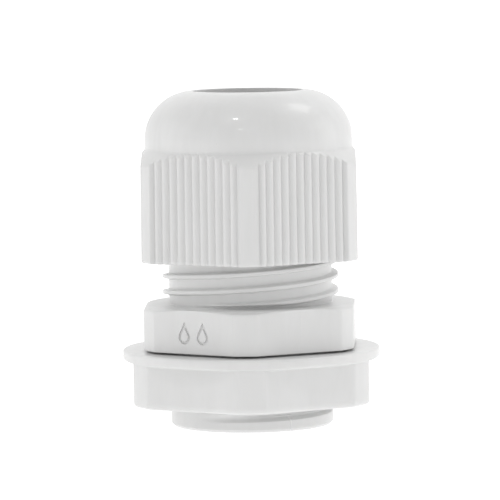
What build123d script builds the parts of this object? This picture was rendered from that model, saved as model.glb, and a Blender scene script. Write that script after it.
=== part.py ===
from build123d import *
import math
import os

os.makedirs("parts", exist_ok=True)

# Cable gland with an M25 x 1.5 inlet thread, moulded in nylon, with a domed compression nut.
# Millimetres. The axis is Z, the end of the inlet thread is at z = 0, and -Y is the front.

# Clearances
running_gap = 0.3
seat_gap = 0.33
root_gap = 0.05
cone_gap = 0.35
screw_play = 0.1
screw_clear = 0.21
inlet_play = 0.06
inlet_clear = 0.2
end_clear = 0.61

# Foot of every thread ridge, buried in its wall
foot_knee = 0.06
foot_depth = 0.25

# Inlet thread, which goes through the panel
inlet_r = 12.5
inlet_pitch = 1.5
inlet_depth = 0.92
inlet_crest = 0.25
inlet_flank = math.tan(math.radians(30))
inlet_length = 12.19
inlet_phase = 0.32
inlet_chamfer = 0.4
inlet_wall = 2.78

# Gasket in the underside of the flange
gasket_width = 1.8
gasket_height = 1.6

# Hexagon flange of the body
flange_wall = 1.15
flange_height = 6.66
flange_land = 1.55
flange_turn = -3.1
flange_slope = 0.22
drop_depth = 0.3
drop_inner = 0.6
drop_r = 1.05
drop_height = 3.4
drop_spacing = 3.3
mark_height = 3.2

# Upper thread, two starts
screw_starts = 2
screw_lead = 4.84
screw_depth = 0.97
screw_base = 1.0
screw_crest = 0.55
spigot_length = 14.15
spigot_wall = 1.37
spigot_chamfer = 0.8
shank = 0.58

# Domed compression nut
nut_gap = 6.86
nut_height = 25.86
nut_step = 0.45
nut_wall = 2.75
nut_land = 1.72
nut_turn = -0.6
dome_step = 0.5
dome_band = 1.57
chamfer_drop = 1.64
rim_round = 0.4
rib_count = 11
rib_pitch = 1.34
rib_depth = 0.4
nut_thread_length = 9.3
nut_thread_turn = 45
nut_lead_in = 0.6
cone_slope = 0.6
cone_lead = 0.7
lip_round = 0.2

# Claw cage and seal
claw_count = 14
claw_thickness = 1.1
claw_slit = 1.0
claw_swing = 7.0
claw_reach = 2.7
ring_height = 3.5
ring_engaged = 2.0
ledge_gap = 0.45
seal_wall = 1.0
seal_gap = 0.24
seal_collar = 2.5
seal_lead = 0.5
mouth_step = 1.0

# Locknut
locknut_height = 8.31
locknut_wall = 5.5
locknut_land = 1.6
locknut_lip = 0.25
locknut_ring = 1.54
locknut_turn = -0.7
locknut_round = 1.0
locknut_chamfer = 0.5

# Radii, from the inlet thread outwards, then from the nut inwards
inlet_root = inlet_r - inlet_depth
bore_r = inlet_root - inlet_wall
gasket_in = inlet_r + running_gap
gasket_out = gasket_in + gasket_width
recess_r = gasket_out + running_gap
flange_half = recess_r + flange_wall
flange_corner = flange_half + flange_land
nut_half = flange_half + nut_step
nut_corner = nut_half + nut_land
dome_r = nut_half - dome_step
nut_major = nut_half - nut_wall
screw_r = nut_major - screw_clear
screw_root = screw_r - screw_depth
nut_minor = screw_root + screw_clear * 0.85
counter_r = screw_root - spigot_wall
claw_out = counter_r - running_gap
claw_in = claw_out - claw_thickness
cone_base_r = claw_out + 1.3

# Heights
flange_top = inlet_length + flange_height
recess_top = inlet_length + gasket_height
spigot_top = flange_top + spigot_length
nut_z = flange_top + nut_gap
nut_top = nut_z + nut_height
nut_travel = nut_gap - end_clear
ring_z = spigot_top - ring_engaged
ledge_z = ring_z - nut_travel - ledge_gap
claw_z = ring_z + ring_height + root_gap
relief_z = spigot_top + nut_travel + 0.55
cone_z = relief_z + cone_lead
claw_tip = cone_z + claw_reach
claw_length = claw_tip - claw_z

# The seal narrows so that the closed claws just clear it, and the mouth is wider than its bore
seal_tip_r = claw_in - claw_length * math.sin(math.radians(claw_swing)) - seal_gap
seal_bore = seal_tip_r - seal_wall
mouth_r = seal_bore + mouth_step
dome_arc = dome_r - mouth_r
arc_z = nut_top - dome_arc
skirt_top = arc_z - dome_band
locknut_top = inlet_length - seat_gap
locknut_z = locknut_top - locknut_height


def turned(points):
    """Solid of revolution about Z from (radius, height) points."""
    outline = Polyline([(r, 0, z) for r, z in points], close=True)
    return revolve(make_face(outline), axis=Axis.Z)


def hexagon(flats_half, z, height, turn):
    """Hexagonal prism with one vertex facing the front, turned by an angle."""
    flat = RegularPolygon(flats_half, 6, major_radius=False, rotation=30 + turn)
    return Pos(0, 0, z) * extrude(flat, height)


def ridge_section(wall_r, tip_r, wall_half, tip_half):
    """Ridge standing on a wall, with its foot buried in the wall."""
    into = 1 if wall_r > tip_r else -1
    knee_half = wall_half + foot_knee * (wall_half - tip_half) / abs(wall_r - tip_r)
    knee_r = wall_r + into * foot_knee
    foot_r = wall_r + into * foot_depth
    half = [(foot_r, knee_half), (knee_r, knee_half), (tip_r, tip_half)]
    return [(r, -h) for r, h in half] + half[::-1]


def thread(lead, starts, section, phase, trim, turn=0):
    """Helical ridges of a (radius, height) section that begin at a turn, trimmed to a solid."""
    box = trim.bounding_box()
    radii = [r for r, h in section]
    ridges = []
    for k in range(starts):
        low = phase + lead / starts * k + lead * turn / 360
        low = low - lead * (math.ceil((low - box.min.Z) / lead) + 1)
        height = lead * (math.ceil((box.max.Z - low) / lead) + 1)
        path = Helix(lead, height, sum(radii) / len(radii), center=(0, 0, low))
        outline = Polyline([(r, 0, low + h) for r, h in section], close=True)
        ridge = Rot(0, 0, turn) * sweep(make_face(outline), path=path, is_frenet=True)
        ridges.extend((ridge & trim).solids())
    return ridges


def drop(x, size):
    """Water drop, point up, standing at x; size scales it about its round end."""
    r = drop_r * size
    z = drop_r - drop_height / 2
    rise = (drop_height / 2 - z) * size
    touch = math.acos(r / rise)
    right = (x + r * math.sin(touch), z + r * math.cos(touch))
    left = (x - r * math.sin(touch), z + r * math.cos(touch))
    curve = ThreePointArc(left, (x, z - r), right)
    return make_face([Line((x, z + rise), left), curve, Line(right, (x, z + rise))])


# Gland body: tube, recess for the gasket, hexagon and spigot
tube = turned([
    (bore_r, 0),
    (inlet_root - inlet_chamfer / 2, 0),
    (inlet_root, inlet_chamfer / 2),
    (inlet_root, recess_top),
    (screw_root, recess_top),
    (screw_root, spigot_top - spigot_chamfer / 2),
    (screw_root - spigot_chamfer / 2, spigot_top),
    (counter_r, spigot_top),
    (counter_r, ledge_z),
    (bore_r, ledge_z),
])
flange_limit = turned([
    (inlet_root - 0.5, recess_top),
    (recess_r, recess_top),
    (recess_r, inlet_length),
    (flange_corner, inlet_length),
    (flange_corner, flange_top - flange_land * flange_slope),
    (flange_half, flange_top),
    (inlet_root - 0.5, flange_top),
])
flange = hexagon(flange_half, inlet_length, flange_height, flange_turn) & flange_limit
mark_turn = math.radians(-120 + flange_turn)
mark_out = (math.cos(mark_turn), math.sin(mark_turn), 0)
mark_along = (-math.sin(mark_turn), math.cos(mark_turn), 0)
mark_origin = (flange_half * mark_out[0], flange_half * mark_out[1], inlet_length + mark_height)
mark_plane = Plane(mark_origin, x_dir=mark_along, z_dir=mark_out)
for side in (-0.5, 0.5):
    outline = drop(side * drop_spacing, 1) - drop(side * drop_spacing, drop_inner)
    tool = Pos(0, 0, -drop_depth) * extrude(outline, 1)
    flange = flange - mark_plane * tool
body = tube + flange

inlet_base = inlet_crest / 2 + inlet_depth * inlet_flank
inlet_section = ridge_section(inlet_root, inlet_r, inlet_base, inlet_crest / 2)
inlet_limit = turned([
    (0, 0),
    (inlet_r - inlet_chamfer, 0),
    (inlet_r, inlet_chamfer),
    (inlet_r + 0.1, inlet_chamfer),
    (inlet_r + 0.1, inlet_length),
    (0, inlet_length),
])
for ridge in thread(inlet_pitch, 1, inlet_section, inlet_phase, inlet_limit):
    body = body + ridge

screw_section = ridge_section(screw_root, screw_r, screw_base / 2, screw_crest / 2)
screw_limit = turned([
    (0, flange_top + shank),
    (screw_r + 0.1, flange_top + shank),
    (screw_r + 0.1, spigot_top - spigot_chamfer),
    (screw_r, spigot_top - spigot_chamfer),
    (screw_r - spigot_chamfer, spigot_top),
    (0, spigot_top),
])
# The ridges run out at the shank a quarter of a lead below the first crest
screw_z = flange_top + shank + screw_lead / 4
for ridge in thread(screw_lead, screw_starts, screw_section, screw_z, screw_limit):
    body = body + ridge
export_step(body, "parts/gland_body.step")

# Domed nut: ribbed skirt, dome and the stepped hole through it
half_face = rib_count * rib_pitch / 2
valley = nut_half - rib_depth
land = math.acos(nut_half / nut_corner)
edge_y = nut_corner * math.sin(land)


def on_face(k, x, y):
    """Point of one face of the skirt, x outwards and y along it."""
    middle = math.radians(-60 + nut_turn + 60 * k)
    c, s = math.cos(middle), math.sin(middle)
    return (c * x - s * y, s * x + c * y)


edges = []
for k in range(6):
    edges.append(Line(on_face(k, nut_half, -edge_y), on_face(k, valley, -half_face)))
    for i in range(rib_count):
        y = -half_face + rib_pitch * i
        start = on_face(k, valley, y)
        crown = on_face(k, nut_half, y + rib_pitch / 2)
        edges.append(ThreePointArc(start, crown, on_face(k, valley, y + rib_pitch)))
    start = on_face(k, nut_half, edge_y)
    edges.append(Line(on_face(k, valley, half_face), start))
    half = math.radians(30)
    vertex = on_face(k, nut_corner * math.cos(half), nut_corner * math.sin(half))
    edges.append(ThreePointArc(start, vertex, on_face(k + 1, nut_half, -edge_y)))
skirt = Pos(0, 0, nut_z) * extrude(make_face(edges), skirt_top - nut_z)
skirt = skirt & turned([
    (0, nut_z),
    (nut_corner - rim_round, nut_z),
    (nut_corner, nut_z + rim_round),
    (nut_corner + 0.1, nut_z + rim_round),
    (nut_corner + 0.1, skirt_top - chamfer_drop),
    (nut_corner, skirt_top - chamfer_drop),
    (dome_r, skirt_top),
    (0, skirt_top),
])
arc = math.radians(45)
dome_outline = [
    Line((0, 0, skirt_top - 1), (dome_r, 0, skirt_top - 1)),
    Line((dome_r, 0, skirt_top - 1), (dome_r, 0, arc_z)),
    ThreePointArc(
        (dome_r, 0, arc_z),
        (mouth_r + dome_arc * math.cos(arc), 0, arc_z + dome_arc * math.sin(arc)),
        (mouth_r, 0, nut_top),
    ),
    Line((mouth_r, 0, nut_top), (0, 0, nut_top)),
    Line((0, 0, nut_top), (0, 0, skirt_top - 1)),
]
nut = skirt + revolve(make_face(dome_outline), axis=Axis.Z)
cone_end = mouth_r + 0.4
cone_top = cone_z + (cone_base_r - cone_end) / cone_slope
nut = nut - turned([
    (0, nut_z - 1),
    (nut_major + nut_lead_in, nut_z - 1),
    (nut_major + nut_lead_in, nut_z),
    (nut_major, nut_z + nut_lead_in),
    (nut_major, relief_z),
    (cone_base_r, relief_z),
    (cone_base_r, cone_z),
    (cone_end, cone_top),
    (mouth_r, cone_top + 0.4),
    (mouth_r, nut_top - lip_round),
    (mouth_r + lip_round, nut_top + 0.1),
    (0, nut_top + 0.1),
])


def nut_half_width(radius, spacing, root, crest_r, base, crest, play):
    """Half width that leaves the given play beside the outer ridge at a radius."""
    outer = base / 2 + (radius - root) / (crest_r - root) * (crest - base) / 2
    return spacing / 2 - outer - play


screw_fit = (screw_lead / screw_starts, screw_root, screw_r, screw_base, screw_crest, screw_play)
tip_half = nut_half_width(nut_minor, *screw_fit)
root_half = nut_half_width(nut_major, *screw_fit)
nut_section = ridge_section(nut_major, nut_minor, root_half, tip_half)
nut_limit = turned([
    (0, nut_z + nut_lead_in),
    (nut_minor, nut_z + nut_lead_in),
    (nut_major + 0.4, nut_z + nut_lead_in + 1),
    (nut_major + 0.4, nut_z + nut_lead_in + nut_thread_length),
    (0, nut_z + nut_lead_in + nut_thread_length),
])
between = screw_z + screw_lead / screw_starts / 2
for ridge in thread(screw_lead, screw_starts, nut_section, between, nut_limit, nut_thread_turn):
    nut = nut + ridge
export_step(nut, "parts/dome_nut.step")

# Claw cage: a ring and its claws, bevelled to the cone of the nut
ring = turned([
    (claw_in, ring_z),
    (claw_out, ring_z),
    (claw_out, ring_z + ring_height),
    (claw_in, ring_z + ring_height),
])
export_step(ring, "parts/claw_ring.step")
bevel_z = cone_z + (cone_base_r - cone_gap - claw_out) / cone_slope
tip_out = cone_base_r - cone_gap - claw_reach * cone_slope
claw_face = make_face(Polyline([
    (claw_in, 0, claw_z),
    (claw_out, 0, claw_z),
    (claw_out, 0, bevel_z),
    (tip_out, 0, claw_tip),
    (claw_in, 0, claw_tip),
], close=True))
slit_angle = math.degrees(claw_slit / ((claw_in + claw_out) / 2))
claw_angle = 360 / claw_count - slit_angle
claw = revolve(claw_face, axis=Axis.Z, revolution_arc=claw_angle)
for k in range(claw_count):
    turn = -90 - claw_angle / 2 + 360 / claw_count * k
    export_step(Rot(0, 0, turn) * claw, f"parts/claw_{k + 1:02d}.step")

# Seal: collar held in the ring, then a neck that narrows towards the claw tips
seal_neck = claw_in - running_gap
seal = turned([
    (seal_bore + seal_lead, ring_z),
    (claw_in, ring_z),
    (claw_in, ring_z + seal_collar),
    (seal_neck, ring_z + seal_collar + running_gap),
    (seal_neck, claw_z),
    (seal_tip_r, claw_tip),
    (seal_bore + seal_lead, claw_tip),
    (seal_bore, claw_tip - seal_lead),
    (seal_bore, ring_z + seal_lead),
])
export_step(seal, "parts/seal_insert.step")

# Gasket, resting on the locknut and reaching into the recess of the flange
gasket = turned([
    (gasket_in, locknut_top),
    (gasket_out, locknut_top),
    (gasket_out, locknut_top + gasket_height),
    (gasket_in, locknut_top + gasket_height),
])
export_step(gasket, "parts/flange_gasket.step")

# Locknut: hexagon, round flange ring, threaded hole
locknut_half = inlet_r + locknut_wall
locknut_corner = locknut_half + locknut_land
locknut_major = inlet_r + inlet_clear
locknut_minor = inlet_root + inlet_clear * 0.85
locknut = hexagon(locknut_half, locknut_z, locknut_height - 0.5, locknut_turn)
locknut = locknut & turned([
    (0, locknut_z),
    (locknut_corner - locknut_round, locknut_z),
    (locknut_corner, locknut_z + locknut_round),
    (locknut_corner, locknut_top),
    (0, locknut_top),
])
ring_low = locknut_top - locknut_ring
ring_r = locknut_corner + locknut_lip
locknut = locknut + turned([
    (0, ring_low),
    (ring_r - locknut_lip, ring_low),
    (ring_r, ring_low + locknut_lip),
    (ring_r, locknut_top - locknut_lip),
    (ring_r - locknut_lip, locknut_top),
    (0, locknut_top),
])
locknut = locknut - turned([
    (0, locknut_z - 1),
    (locknut_major + locknut_chamfer, locknut_z - 1),
    (locknut_major + locknut_chamfer, locknut_z),
    (locknut_major, locknut_z + locknut_chamfer),
    (locknut_major, locknut_top + 1),
    (0, locknut_top + 1),
])
inlet_fit = (inlet_pitch, inlet_root, inlet_r, 2 * inlet_base, inlet_crest, inlet_play)
tip_half = nut_half_width(locknut_minor, *inlet_fit)
root_half = nut_half_width(locknut_major, *inlet_fit)
locknut_section = ridge_section(locknut_major, locknut_minor, root_half, tip_half)
locknut_limit = turned([
    (0, locknut_z + locknut_chamfer),
    (locknut_minor, locknut_z + locknut_chamfer),
    (locknut_major + 0.4, locknut_z + locknut_chamfer + 1),
    (locknut_major + 0.4, locknut_top - 0.2),
    (0, locknut_top - 0.2),
])
inlet_between = inlet_phase + inlet_pitch / 2
for ridge in thread(inlet_pitch, 1, locknut_section, inlet_between, locknut_limit):
    locknut = locknut + ridge
export_step(locknut, "parts/locknut.step")
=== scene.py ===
import math

import bmesh
import bpy
from mathutils import Matrix, Vector


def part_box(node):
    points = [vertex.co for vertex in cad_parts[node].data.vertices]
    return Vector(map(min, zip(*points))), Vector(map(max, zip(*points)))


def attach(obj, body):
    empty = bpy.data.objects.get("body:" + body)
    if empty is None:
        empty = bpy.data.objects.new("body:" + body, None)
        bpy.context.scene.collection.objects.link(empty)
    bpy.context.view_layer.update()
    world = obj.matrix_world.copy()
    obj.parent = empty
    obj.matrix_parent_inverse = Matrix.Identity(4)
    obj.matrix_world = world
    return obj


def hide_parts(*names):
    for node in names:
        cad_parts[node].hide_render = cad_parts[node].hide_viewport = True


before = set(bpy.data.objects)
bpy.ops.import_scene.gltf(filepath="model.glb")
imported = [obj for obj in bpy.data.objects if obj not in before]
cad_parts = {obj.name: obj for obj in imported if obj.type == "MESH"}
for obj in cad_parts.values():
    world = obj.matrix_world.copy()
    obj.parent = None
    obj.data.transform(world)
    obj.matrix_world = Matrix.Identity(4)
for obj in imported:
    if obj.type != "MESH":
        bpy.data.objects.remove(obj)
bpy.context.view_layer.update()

# Sizes in metres. The gland stands on its inlet thread and -Y is the front.
MM = 0.001
turn = 2 * math.pi

body_low, body_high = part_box("gland_body")
nut_low, nut_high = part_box("dome_nut")
lock_low, lock_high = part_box("locknut")

body_top = body_high[2]
nut_z = nut_low[2]
nut_top = nut_high[2]
lock_z = lock_low[2]
lock_top = lock_high[2]
ring_r = lock_high[0]
flange_corner = 17.6 * MM
flange_half = 16.05 * MM
flange_z = 12.19 * MM
flange_top = 18.85 * MM
nut_half = 16.5 * MM
nut_corner = 18.22 * MM
dome_r = 16.0 * MM
mouth_r = 8.5 * MM
skirt_top = 42.64 * MM
arc_z = 44.07 * MM
inlet_r = 12.5 * MM
inlet_root = 11.58 * MM
inlet_pitch = 1.5 * MM
inlet_phase = 0.32 * MM
screw_r = 13.54 * MM
screw_root = 12.57 * MM
screw_lead = 4.84 * MM
screw_phase = 20.64 * MM
body_turn = -3.1
nut_turn = -0.6
lock_turn = -0.7
bore_r = 8.8 * MM
counter_r = 11.2 * MM
ledge_z = 24.3 * MM
recess_r = 14.9 * MM
recess_top = 13.79 * MM
mark_z = 15.39 * MM
mark_turn = -123.1
drop_depth = 0.3 * MM
drop_r = 1.05 * MM
drop_tall = 3.4 * MM
drop_spacing = 3.3 * MM
drop_inner = 0.6
rib_count = 11
rib_pitch = 1.34 * MM
rib_depth = 0.5 * MM
nut_major = 13.75 * MM
nut_depth = 1.0 * MM
nut_thread_low = 26.4 * MM
nut_thread_high = 35.5 * MM
relief_z = 39.8 * MM
cone_r = 12.2 * MM
cone_low = 40.5 * MM
cone_high = 46.4 * MM
lock_half = 18.0 * MM
lock_land = 1.6 * MM
lock_major = 12.7 * MM
lock_depth = 0.95 * MM
lock_hole = 13.2 * MM
ring_height = 1.54 * MM


# Skins: a closed line of points spun round the axis, then every column set to its own outline

def hex_columns(half, corner, facing, flat_steps, land_steps, soft):
    """Angle and radius of every column round a hexagon with lands on its corners."""
    columns = []
    land = math.acos(half / corner)
    edge = corner * math.sin(land)
    for k in range(6):
        middle = math.radians(-60 + facing + 60 * k)
        inner = edge - soft
        steps = [-edge] + [-inner + 2 * inner * i / flat_steps for i in range(flat_steps + 1)]
        for y in steps:
            columns.append((middle + math.atan2(y, half), math.hypot(half, y)))
        first = middle + land
        last = middle + math.radians(60) - land
        for i in range(land_steps):
            columns.append((first + (last - first) * i / land_steps, corner))
    return columns


def ribbed_columns(half, corner, facing, ribs, pitch, depth, rib_steps, land_steps):
    """Angle and radius of every column round a hexagon with wavy ribs on its faces."""
    columns = []
    land = math.acos(half / corner)
    reach = ribs * pitch / 2
    for k in range(6):
        middle = math.radians(-60 + facing + 60 * k)
        columns.append((middle - land, corner))
        for i in range(ribs * rib_steps + 1):
            y = -reach + pitch * i / rib_steps
            x = half - depth * (0.5 + 0.5 * math.cos(turn * i / rib_steps)) ** 1.6
            columns.append((middle + math.atan2(y, x), math.hypot(x, y)))
        first = middle + land
        last = middle + math.radians(60) - land
        for i in range(land_steps):
            columns.append((first + (last - first) * i / land_steps, corner))
    return columns


def softened(points):
    """Closed outline of (r, z, size, steps) corners, each rounded off by its size in some steps."""
    out = []
    count = len(points)
    for i, (r, z, size, steps) in enumerate(points):
        here = Vector((r, z))
        if not steps:
            out.append(here)
            continue
        before = Vector(points[i - 1][:2]) - here
        after = Vector(points[(i + 1) % count][:2]) - here
        reach = min(size, before.length * 0.42, after.length * 0.42)
        start = here + before.normalized() * reach
        end = here + after.normalized() * reach
        out.append(start + before.normalized() * reach * 0.15)
        for j in range(steps + 1):
            t = j / steps
            out.append(start * (1 - t) ** 2 + here * 2 * t * (1 - t) + end * t ** 2)
        out.append(end + after.normalized() * reach * 0.15)
    return out


def placed(name, bm):
    """Object from a bmesh, put in the scene."""
    mesh = bpy.data.meshes.new(name)
    bm.to_mesh(mesh)
    bm.free()
    piece = bpy.data.objects.new(name, mesh)
    bpy.context.collection.objects.link(piece)
    return piece


def skin(name, angles, outlines):
    """Spins a loop of points round Z, then moves each point to its column's outline."""
    rows = len(outlines[0])
    count = len(angles)
    bm = bmesh.new()
    ladder = [bm.verts.new((1, 0, i)) for i in range(rows)]
    rungs = [bm.edges.new((ladder[i], ladder[(i + 1) % rows])) for i in range(rows)]
    bmesh.ops.spin(bm, geom=ladder + rungs, cent=(0, 0, 0), axis=(0, 0, 1), angle=turn,
                   steps=count, use_merge=True, use_duplicate=False)
    place = {}
    for v in bm.verts:
        column = round(math.atan2(v.co.y, v.co.x) / turn * count) % count
        place[v] = (column, round(v.co.z))
    for v, (column, row) in place.items():
        r, z = outlines[column][row]
        angle = angles[column]
        v.co = (r * math.cos(angle), r * math.sin(angle), z)
    bmesh.ops.recalc_face_normals(bm, faces=bm.faces)
    for face in bm.faces:
        face.smooth = True
    return placed(name, bm)


def smooth(t):
    """0 to 1 with soft ends."""
    t = min(max(t, 0.0), 1.0)
    return t * t * (3 - 2 * t)


def helix_offset(angle, z, pitch, phase):
    """Height above or below the nearest crest of a helix."""
    t = (z - phase) / pitch - angle / turn
    return abs(t - round(t)) * pitch


def tooth(offset, base_half, crest_half):
    """0 at the root and 1 on the crest, with rounded edges."""
    return smooth((base_half - offset) / (base_half - crest_half))


def heights(low, high, step):
    """Even rows from low to high, about a step apart."""
    count = max(2, round((high - low) / step))
    return [low + (high - low) * i / count for i in range(count + 1)]


# Gland body

def inlet_thread(angle, z):
    """The groove fades in above a plain band at the end."""
    raised = tooth(helix_offset(angle, z, inlet_pitch, inlet_phase), 0.66 * MM, 0.1 * MM)
    groove = inlet_phase + inlet_pitch / 2 + inlet_pitch * angle / turn
    groove += inlet_pitch * round((z - groove) / inlet_pitch)
    depth = (inlet_r - inlet_root) * (1 - raised) * smooth((groove - 2.02 * MM) / (0.25 * MM))
    return min(inlet_r - depth, inlet_r - 0.42 * MM + z)


def screw_thread(angle, z):
    t = (z - screw_phase) / screw_lead - angle / turn
    offset = min(abs(t - round(t)), abs(t - math.floor(t) - 0.5)) * screw_lead
    raised = tooth(offset, 0.54 * MM, 0.22 * MM)
    fade = smooth((z - flange_top - 0.3 * MM) / (0.5 * MM))
    r = screw_root + (screw_r - screw_root) * raised * fade
    return min(r, screw_r - 0.8 * MM + (body_top - z) * 1.0)


body_columns = hex_columns(flange_half, flange_corner, body_turn, 26, 8, 0.5 * MM)
inlet_rows = heights(0.0, 4.2 * MM, 0.07 * MM) + heights(4.3 * MM, 12.0 * MM, 0.11 * MM)
screw_rows = heights(19.2 * MM, 26.6 * MM, 0.07 * MM)
screw_rows += heights(26.7 * MM, body_top - 0.05 * MM, 0.13 * MM)


def body_outline(angle, radius):
    points = [(bore_r, 0.0, 0.2 * MM, 2)]
    points += [(inlet_thread(angle, z), z, 0, 0) for z in inlet_rows]
    drop = (radius - flange_half) * 0.22
    points += [
        (inlet_root, recess_top, 0.2 * MM, 2),
        (recess_r, recess_top, 0.2 * MM, 2),
        (recess_r, flange_z, 0.15 * MM, 2),
        (radius, flange_z, 0.15 * MM, 3),
        (radius, flange_top - drop - 0.04 * MM, 0.28 * MM, 3),
        (flange_half - 0.1 * MM, flange_top, 0.25 * MM, 3),
        (screw_root, flange_top, 0.3 * MM, 3),
    ]
    points += [(screw_thread(angle, z), z, 0, 0) for z in screw_rows]
    points += [
        (screw_root - 0.3 * MM, body_top, 0.15 * MM, 2),
        (counter_r, body_top, 0.2 * MM, 2),
        (counter_r, ledge_z, 0.2 * MM, 2),
        (bore_r, ledge_z, 0.2 * MM, 2),
        (bore_r, 12.0 * MM, 0, 0),
    ]
    return softened(points)


body = skin("gland_body_skin", [a for a, r in body_columns],
            [body_outline(a, r) for a, r in body_columns])


def drop_loop(bm, x, radius, tall, size):
    """Edges of a water drop, point up; size scales it about its round end."""
    middle = radius - tall / 2
    rise = (tall / 2 - middle) * size
    touch = math.acos(radius / (tall / 2 - middle))
    ring = [bm.verts.new((0, x, middle + rise))]
    for i in range(25):
        a = math.pi / 2 - touch - (turn - 2 * touch) * i / 24
        ring.append(bm.verts.new((0, x + radius * size * math.cos(a),
                                  middle + radius * size * math.sin(a))))
    return [bm.edges.new((ring[i - 1], ring[i])) for i in range(len(ring))]


def drop_cutter(centre_z, facing, depth, radius, tall, spacing, inner):
    """Outlines of two water drops, standing across a face of the flange, to be sunk into it."""
    bm = bmesh.new()
    for side in (-0.5, 0.5):
        loops = [drop_loop(bm, side * spacing, radius, tall, size) for size in (1.0, inner)]
        made = bmesh.ops.bridge_loops(bm, edges=loops[0] + loops[1])
        grown = bmesh.ops.extrude_face_region(bm, geom=made["faces"])
        moved = [g for g in grown["geom"] if isinstance(g, bmesh.types.BMVert)]
        bmesh.ops.translate(bm, verts=moved, vec=(depth + 1 * MM, 0, 0))
    bmesh.ops.recalc_face_normals(bm, faces=bm.faces)
    place = Matrix.Rotation(math.radians(facing), 4, "Z")
    place = place @ Matrix.Translation((flange_half - depth, 0, centre_z))
    bmesh.ops.transform(bm, matrix=place, verts=bm.verts)
    return placed("drops", bm)


cutter = drop_cutter(mark_z, mark_turn, drop_depth, drop_r, drop_tall, drop_spacing, drop_inner)
cut = body.modifiers.new("drops", "BOOLEAN")
cut.operation = "DIFFERENCE"
cut.solver = "EXACT"
cut.object = cutter
bpy.context.view_layer.update()
seen = body.evaluated_get(bpy.context.evaluated_depsgraph_get())
sunk = bpy.data.meshes.new_from_object(seen)
body.modifiers.clear()
body.data = sunk
bpy.data.objects.remove(cutter)
outward = Vector((math.cos(math.radians(mark_turn)), math.sin(math.radians(mark_turn)), 0))
for face in sunk.polygons:
    out = face.center.dot(outward)
    if 12.6 * MM < face.center.z < 17.8 * MM and out > 15.8 * MM:
        face.use_smooth = abs(face.normal.dot(outward)) < 0.9999 and out > 16.04 * MM


# Domed nut

nut_columns = ribbed_columns(nut_half, nut_corner, nut_turn, rib_count, rib_pitch, rib_depth, 8, 5)
nut_thread_rows = heights(nut_thread_low, nut_thread_high, 0.13 * MM)


def nut_thread(angle, z):
    t = (z - screw_phase) / screw_lead - angle / turn + 0.25
    offset = min(abs(t - round(t)), abs(t - math.floor(t) - 0.5)) * screw_lead
    raised = tooth(offset, 0.88 * MM, 0.6 * MM)
    ends = smooth((z - nut_thread_low) / (0.8 * MM))
    ends = ends * smooth((nut_thread_high - z) / (0.3 * MM))
    return nut_major - nut_depth * raised * ends


def nut_outline(angle, radius):
    top = radius - 0.08 * MM
    drop = (top - dome_r) * 0.9
    points = [
        (radius, nut_z, 0.42 * MM, 4),
        (top, skirt_top - drop, 0.35 * MM, 3),
        (dome_r, skirt_top, 0.22 * MM, 3),
        (dome_r, arc_z - 0.3 * MM, 0, 0),
    ]
    arc = dome_r - mouth_r
    for i in range(31):
        a = math.radians(3 * i)
        r = mouth_r + arc * math.cos(a)
        points.append((r, arc_z + (nut_top - arc_z) * math.sin(a), 0, 0))
    points[-1] = (mouth_r, nut_top, 0.45 * MM, 5)
    points += [
        (mouth_r, cone_high, 0.2 * MM, 2),
        (cone_r, cone_low, 0, 0),
        (cone_r, relief_z, 0, 0),
        (nut_major, relief_z, 0, 0),
    ]
    points += [(nut_thread(angle, z), z, 0, 0) for z in reversed(nut_thread_rows)]
    points += [(14.35 * MM, nut_z, 0.2 * MM, 2)]
    return softened(points)


nut = skin("dome_nut_skin", [a for a, r in nut_columns],
           [nut_outline(a, r) for a, r in nut_columns])


# Locknut

lock_columns = hex_columns(lock_half, lock_half + lock_land, lock_turn, 26, 8, 0.15 * MM)
lock_thread_rows = heights(lock_z + 0.5 * MM, lock_top - 0.25 * MM, 0.08 * MM)


def lock_thread(angle, z):
    phase = inlet_phase + inlet_pitch / 2
    raised = tooth(helix_offset(angle, z, inlet_pitch, phase), 0.66 * MM, 0.1 * MM)
    ends = smooth((z - lock_z - 0.5 * MM) / (0.7 * MM))
    ends = ends * smooth((lock_top - 0.25 * MM - z) / (0.5 * MM))
    return lock_major - lock_depth * raised * ends


def lock_outline(angle, radius):
    ring_low = lock_top - ring_height
    over_flat = 1 - (radius - lock_half) / lock_land
    points = [
        (radius, lock_z, 0.9 * MM, 5),
        (radius, ring_low, 0.3 * MM, 3),
        (ring_r, ring_low, (0.08 + 0.4 * over_flat) * MM, 3),
        (ring_r, lock_top, 0.4 * MM, 4),
        (lock_hole, lock_top, 0.2 * MM, 2),
    ]
    points += [(lock_thread(angle, z), z, 0, 0) for z in reversed(lock_thread_rows)]
    points += [(lock_hole, lock_z, 0.2 * MM, 2)]
    return softened(points)


lock = skin("locknut_skin", [a for a, r in lock_columns],
            [lock_outline(a, r) for a, r in lock_columns])


# Materials

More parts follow.
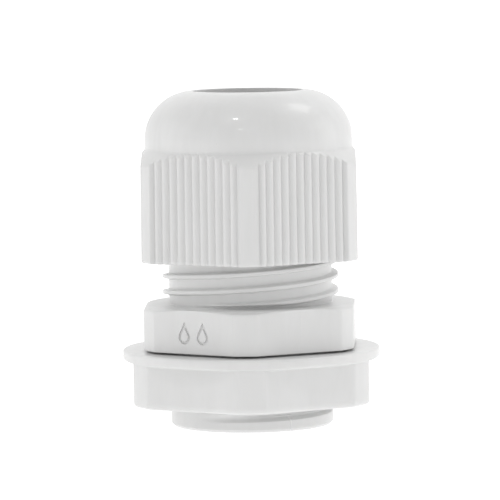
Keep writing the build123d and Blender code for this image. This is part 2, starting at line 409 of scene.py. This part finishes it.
class Value:
    """A socket of a material's nodes, with arithmetic."""

    def __init__(self, tree, socket=None):
        self.tree = tree
        self.socket = socket

    def make(self, kind, settings, sockets, out=0):
        """Any node: its type, its settings, then its sockets."""
        node = self.tree.nodes.new(kind)
        for key, value in settings.items():
            setattr(node, key, value)
        for key, value in sockets.items():
            if isinstance(value, Value):
                self.tree.links.new(value.socket, node.inputs[key])
            else:
                node.inputs[key].default_value = value
        return Value(self.tree, node.outputs[out] if node.outputs else None)

    def maths(self, operation, a, b=0.0):
        return self.make("ShaderNodeMath", {"operation": operation}, {0: a, 1: b})

    def __add__(self, other):
        return self.maths("ADD", self, other)

    def __radd__(self, other):
        return self.maths("ADD", other, self)

    def __sub__(self, other):
        return self.maths("SUBTRACT", self, other)

    def __rsub__(self, other):
        return self.maths("SUBTRACT", other, self)

    def __mul__(self, other):
        return self.maths("MULTIPLY", self, other)

    def __rmul__(self, other):
        return self.maths("MULTIPLY", other, self)

    def split(self):
        """The x, y and z of this vector."""
        parts = self.make("ShaderNodeSeparateXYZ", {}, {0: self})
        return [Value(self.tree, socket) for socket in parts.socket.node.outputs]

    def between(self, low, high, start, end):
        """This value taken from low..high to start..end."""
        return self.make("ShaderNodeMapRange", {"clamp": True},
                         {"Value": self, "From Min": low, "From Max": high,
                          "To Min": start, "To Max": end})


def blank_material(name):
    material = bpy.data.materials.new(name)
    material.use_nodes = True
    material.node_tree.nodes.clear()
    return material, Value(material.node_tree)


def noise(v, place, scale, detail=3.0, roughness=0.5, distortion=0.0):
    return v.make("ShaderNodeTexNoise", {}, {"Vector": place, "Scale": scale, "Detail": detail,
                                            "Roughness": roughness, "Distortion": distortion}, "Fac")


def mixed(v, factor, a, b):
    return v.make("ShaderNodeMix", {"data_type": "RGBA"}, {0: factor, 6: a, 7: b}, 2)


def finish_surface(v, colour, roughness, height, distance, constants):
    bump = v.make("ShaderNodeBump", {}, {"Strength": 1.0, "Distance": distance, "Height": height})
    sockets = {"Base Color": colour, "Roughness": roughness, "Normal": bump}
    sockets.update(constants)
    surface = v.make("ShaderNodeBsdfPrincipled", {}, sockets)
    v.make("ShaderNodeOutputMaterial", {}, {"Surface": surface})


def white_nylon(name, seam_angle, tint):
    """Natural white nylon with a satin moulded face and a faint raised parting line, painted lighter
    as a highlight near the inlet's end.
    """
    material, v = blank_material(name)
    place = v.make("ShaderNodeTexCoord", {}, {}, "Object")
    x, y, z = place.split()
    clouds = noise(v, place, 90.0, 3.0, 0.55, 0.4)
    flow = v.make("ShaderNodeMapping", {}, {"Vector": place, "Scale": (1.0, 1.0, 0.25)})
    streaks = noise(v, flow, 420.0, 4.0, 0.6, 0.8)
    grain = noise(v, place, 5200.0, 2.0, 0.6)
    pores = noise(v, place, 1900.0, 2.0, 0.5)
    angle = math.radians(seam_angle)
    off = v.maths("ABSOLUTE", x * math.sin(angle) - y * math.cos(angle))
    seam_and_highlight = off.between(0.00005, 0.00017, 1.0, 0.0)
    handled = clouds.between(0.55, 0.75, 0.0, 1.0)
    pale = (0.735 * tint, 0.735 * tint, 0.732 * tint, 1)
    dull = (0.69 * tint, 0.69 * tint, 0.684 * tint, 1)
    blend = streaks.between(0.3, 0.7, 0.0, 0.55) + handled * 0.25
    colour = mixed(v, blend, pale, dull)
    speck = noise(v, place, 2600.0, 1.0).between(0.79, 0.84, 0.0, 0.35)
    colour = mixed(v, speck, colour, (0.55, 0.54, 0.52, 1))
    # Painted highlight: the seam mask is painted lighter (0.86) along the plain band at the inlet's
    # end, fading out above it; the same mask also raises the parting line by bump.
    colour = mixed(v, seam_and_highlight * z.between(0.0018, 0.0024, 0.8, 0.0), colour, (0.86, 0.86, 0.86, 1))
    rough = 0.33 + 0.09 * streaks + 0.05 * handled + 0.04 * grain
    near_end = z.between(0.0018, 0.0024, 14.0, 1.5)
    height = 0.5 * grain + 0.35 * pores + 0.35 * streaks + near_end * seam_and_highlight
    finish_surface(v, colour, rough, height, 0.000006, {
        "Coat Weight": clouds.between(0.3, 0.7, 0.35, 0.2),
        "Coat Roughness": 0.1,
        "IOR": 1.53,
        "Subsurface Weight": 0.12,
        "Subsurface Radius": (1.0, 0.95, 0.9),
        "Subsurface Scale": 0.0012,
        "Specular IOR Level": 0.45})
    return material


def soft_rubber(name, clean, bloomed):
    """Sealing rubber of two tones, with a bloom and fine pits."""
    material, v = blank_material(name)
    place = v.make("ShaderNodeTexCoord", {}, {}, "Object")
    bloom = noise(v, place, 260.0, 4.0, 0.6, 0.5)
    pits = noise(v, place, 2400.0, 2.0, 0.6)
    colour = mixed(v, bloom.between(0.35, 0.7, 0.0, 1.0), clean, bloomed)
    rough = 0.55 + 0.25 * bloom
    finish_surface(v, colour, rough, pits + bloom * 0.5, 0.00001, {"IOR": 1.5})
    return material


def table_top(name):
    """Opal sheet of a light table, lit evenly from below."""
    material, v = blank_material(name)
    place = v.make("ShaderNodeTexCoord", {}, {}, "Object")
    mottle = noise(v, place, 22.0, 4.0, 0.6)
    fibre = noise(v, place, 1500.0, 2.0, 0.5)
    colour = mixed(v, mottle, (0.24, 0.24, 0.24, 1), (0.27, 0.27, 0.27, 1))
    finish_surface(v, colour, 0.75 + 0.1 * mottle, fibre, 0.00001, {
        "IOR": 1.4, "Emission Color": (1, 1, 1, 1), "Emission Strength": 0.93})
    return material


def dress(piece, material):
    piece.data.materials.clear()
    piece.data.materials.append(material)


dress(body, white_nylon("nylon_body", -62.0, 1.0))
dress(nut, white_nylon("nylon_nut", 30.0, 0.99))
dress(lock, white_nylon("nylon_locknut", -36.0, 1.01))
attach(body, "gland_body")
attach(nut, "dome_nut")
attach(lock, "locknut")
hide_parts("gland_body")
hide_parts("dome_nut")
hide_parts("locknut")

cage = white_nylon("nylon_cage", 90.0, 0.97)
seal_rubber = soft_rubber("seal_rubber", (0.30, 0.30, 0.305, 1), (0.38, 0.38, 0.385, 1))
gasket_rubber = soft_rubber("gasket_rubber", (0.60, 0.60, 0.59, 1), (0.66, 0.66, 0.65, 1))
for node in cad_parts:
    o = bpy.data.objects.get(node)
    if node.startswith("claw"):
        dress(o, cage)
    elif node == "seal_insert":
        dress(o, seal_rubber)
    elif node == "flange_gasket":
        dress(o, gasket_rubber)


# Floor, light and camera

def pane(name, size, place, aim, strength):
    """Soft box light, facing the gland."""
    lamp = bpy.data.lights.new(name, "AREA")
    lamp.shape = "RECTANGLE"
    lamp.size, lamp.size_y = size
    lamp.energy = strength
    o = bpy.data.objects.new(name, lamp)
    bpy.context.collection.objects.link(o)
    o.location = place
    o.rotation_mode = "QUATERNION"
    o.rotation_quaternion = (Vector(aim) - Vector(place)).to_track_quat("-Z", "Y")
    return o


bm = bmesh.new()
bmesh.ops.create_grid(bm, x_segments=1, y_segments=1, size=40.0)
floor = placed("floor", bm)
dress(floor, table_top("board"))

heart = (0, 0, 0.027)
crown = (0, 0, 0.047)
pane("left_box", (0.25, 0.40), (-0.50, 0.06, 0.14), heart, 0.24)
pane("right_box", (0.25, 0.40), (0.50, 0.08, 0.14), heart, 0.30)
pane("high_box", (0.20, 0.16), (0.295, 0.125, 0.50), crown, 0.34)
pane("spark_high", (0.05, 0.014), (-0.145, -0.40, 0.69), crown, 0.50)
pane("spark_low", (0.03, 0.008), (-0.085, -0.52, 0.364), crown, 0.08)

world = bpy.data.worlds.new("studio")
bpy.context.scene.world = world
world.use_nodes = True
world.node_tree.nodes.clear()
dome = Value(world.node_tree)
ray = dome.make("ShaderNodeTexCoord", {}, {}, "Generated")
sideways, backwards, upwards = ray.split()
glow = backwards.between(-0.3, 0.8, 0.5, 1.04) + upwards.between(0.0, 1.0, 0.0, 0.2)
sky = dome.make("ShaderNodeBackground", {}, {"Color": (1, 1, 1, 1), "Strength": glow})
dome.make("ShaderNodeOutputWorld", {}, {"Surface": sky})

camera = bpy.data.objects.new("camera", bpy.data.cameras.new("camera"))
bpy.context.collection.objects.link(camera)
camera.data.sensor_width = 36.0
camera.data.lens = 291.6
camera.data.dof.use_dof = False
camera.data.clip_start = 0.01
camera.data.clip_end = 100.0
eye = Vector((0, -0.623, 0.078))
look = Vector((0, 0, 0.02686))
camera.location = eye
camera.rotation_mode = "QUATERNION"
lean = Matrix.Rotation(math.radians(-0.85), 4, "Z").to_quaternion()
camera.rotation_quaternion = (look - eye).to_track_quat("-Z", "Y") @ lean
bpy.context.scene.camera = camera

scene = bpy.context.scene
scene.view_settings.view_transform = "Standard"
scene.view_settings.look = "None"
scene.view_settings.exposure = 0.0

bpy.context.view_layer.update()
